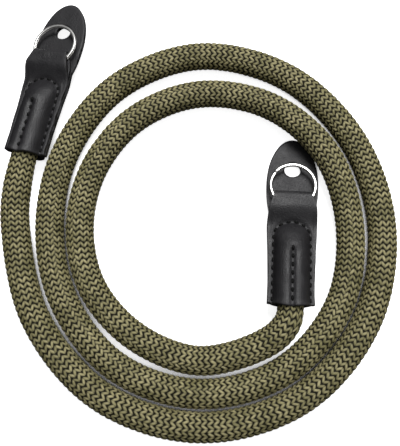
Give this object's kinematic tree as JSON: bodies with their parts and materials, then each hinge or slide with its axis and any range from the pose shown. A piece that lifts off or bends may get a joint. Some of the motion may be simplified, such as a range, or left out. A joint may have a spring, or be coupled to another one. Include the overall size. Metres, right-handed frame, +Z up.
{
  "type": "camera strap",
  "caption": "Round braided camera strap lying in loose flat turns, with a stitched leather end, a tongue and a split ring at both ends.",
  "frame": {"origin": "on the surface that the strap lies on, under the middle of the box round its two leather ends and rings", "axes": "+Z up from the surface, +X to the right and +Y away from the viewer of the picture"},
  "size_m": [0.1468, 0.1667, 0.0162],
  "materials": {
    "braid": "woven olive and khaki nylon, matt",
    "leather": "fine grained black leather, satin",
    "nickel": "bright nickel plate"
  },
  "bodies": {
    "strap": {"rope": "braid", "sleeve_a": "leather", "tongue_a": "leather", "sleeve_b": "leather", "tongue_b": "leather"},
    "split_ring_a": {"ring_a": "nickel"},
    "split_ring_b": {"ring_b": "nickel"}
  },
  "joints": [
    {"name": "ring_a_turn", "type": "hinge", "parent": "strap", "child": "split_ring_a", "pos_m": [-0.04183, 0.04066, 0.01007], "axis": [-0.1994, 0.0607, 0.978], "continuous": true},
    {"name": "ring_b_turn", "type": "hinge", "parent": "strap", "child": "split_ring_b", "pos_m": [0.04954, -0.01507, 0.00686], "axis": [-0.0455, 0.1075, 0.9932], "continuous": true}
  ]
}
